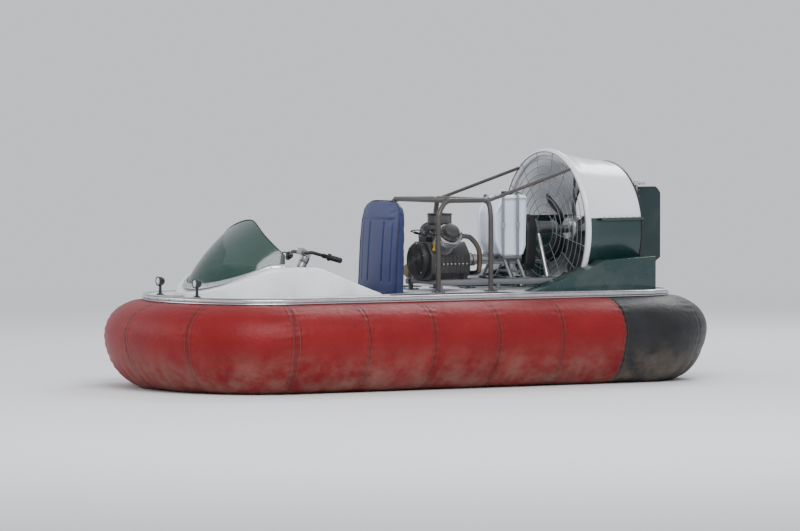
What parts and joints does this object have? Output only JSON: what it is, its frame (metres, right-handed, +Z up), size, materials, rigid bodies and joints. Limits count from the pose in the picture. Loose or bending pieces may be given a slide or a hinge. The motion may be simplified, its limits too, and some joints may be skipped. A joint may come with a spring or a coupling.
{
  "type": "hovercraft",
  "caption": "Light recreational hovercraft with an inflated bag skirt, one seat row, handlebar steering and a ducted fan with rudders.",
  "frame": {"origin": "on the ground under the middle of the craft's outer box", "axes": "+X forward to the bow, +Y to port, +Z up"},
  "size_m": [3.95, 2, 1.498],
  "materials": {
    "gelcoat": "white gel-coat, glossy, lightly weathered",
    "hull": "off-white gel-coat, satin",
    "green": "dark green gel-coat, semi-gloss",
    "skirt_red": "deep red coated skirt fabric, satin",
    "skirt_black": "black coated skirt fabric, satin",
    "rubber": "ribbed black rubber",
    "black_plastic": "grained black plastic",
    "black_metal": "black powder coat",
    "seat_vinyl": "dark blue vinyl, stitched",
    "smoked_screen": "smoked green acrylic, glossy",
    "alloy": "bare and anodised alloy, satin",
    "steel": "grey coated steel, satin",
    "engine": "dark cast and coated metal, oily",
    "tank_plastic": "milky white moulded plastic"
  },
  "bodies": {
    "hull": {"hull_pan": "hull", "stern_pan": "hull", "hull_sides": "hull", "deck_moulding": "gelcoat", "stern_deck": "gelcoat", "gunwale_rail": "alloy", "floor_mat": "rubber", "skirt_bag": "skirt_red", "skirt_stern": "skirt_black", "skid_port": "black_plastic", "skid_starboard": "black_plastic", "dash_cowl": "gelcoat", "dash_panel": "black_plastic", "dial_cluster": "black_plastic", "windscreen": "smoked_screen", "screen_moulding": "steel", "bow_lamp_port": "black_plastic", "bow_lamp_starboard": "black_plastic", "seat_base": "hull", "seat_cushion": "seat_vinyl", "seat_back": "seat_vinyl", "steering_column": "steel", "engine_frame": "steel", "engine_block": "engine", "cylinder_port": "alloy", "cylinder_starboard": "alloy", "air_filter": "black_plastic", "exhaust_silencer": "steel", "belt_cover": "black_plastic", "shaft_housing": "alloy", "fuel_tank": "tank_plastic", "tank_tray": "steel", "engine_guard": "steel", "duct_upper": "gelcoat", "duct_lower": "green", "duct_lip": "gelcoat", "plinth_port": "green", "plinth_starboard": "green", "deck_pad_port": "rubber", "deck_pad_starboard": "rubber", "bow_plate": "alloy", "splitter_plate": "alloy", "intake_guard": "steel", "rudder_beam_top": "alloy", "rudder_beam_bottom": "alloy"},
    "handlebar": {"handlebar": "black_metal"},
    "fan": {"fan_rotor": "black_plastic"},
    "rudder_port": {"rudder_port": "black_metal"},
    "rudder_centre": {"rudder_centre": "black_metal"},
    "rudder_starboard": {"rudder_starboard": "black_metal"},
    "tie_bar": {"rudder_tie_bar": "alloy"}
  },
  "joints": [
    {"name": "handlebar_turn", "type": "hinge", "parent": "hull", "child": "handlebar", "pos_m": [0.7, 0, 0.8], "axis": [-0.4794, 0, 0.8776], "range_deg": [-30, 30]},
    {"name": "fan_spin", "type": "hinge", "parent": "hull", "child": "fan", "pos_m": [-1.325, 0, 0.968], "axis": [1, 0, 0], "continuous": true},
    {"name": "rudder_port_turn", "type": "hinge", "parent": "hull", "child": "rudder_port", "pos_m": [-1.64, 0.25, 0.968], "axis": [0, 0, 1], "range_deg": [-30, 30]},
    {"name": "rudder_centre_turn", "type": "hinge", "parent": "hull", "child": "rudder_centre", "pos_m": [-1.64, 0, 0.968], "axis": [0, 0, 1], "range_deg": [-30, 30]},
    {"name": "rudder_starboard_turn", "type": "hinge", "parent": "hull", "child": "rudder_starboard", "pos_m": [-1.64, -0.25, 0.968], "axis": [0, 0, 1], "range_deg": [-30, 30]},
    {"name": "tie_bar_turn", "type": "hinge", "parent": "rudder_port", "child": "tie_bar", "pos_m": [-1.729, 0.25, 0.681], "axis": [0, 0, 1], "range_deg": [-30, 30]}
  ],
  "couplings": [
    {"joint": "rudder_port_turn", "follows": "handlebar_turn", "ratio": -1},
    {"joint": "rudder_centre_turn", "follows": "handlebar_turn", "ratio": -1},
    {"joint": "rudder_starboard_turn", "follows": "handlebar_turn", "ratio": -1},
    {"joint": "tie_bar_turn", "follows": "handlebar_turn", "ratio": 1}
  ]
}
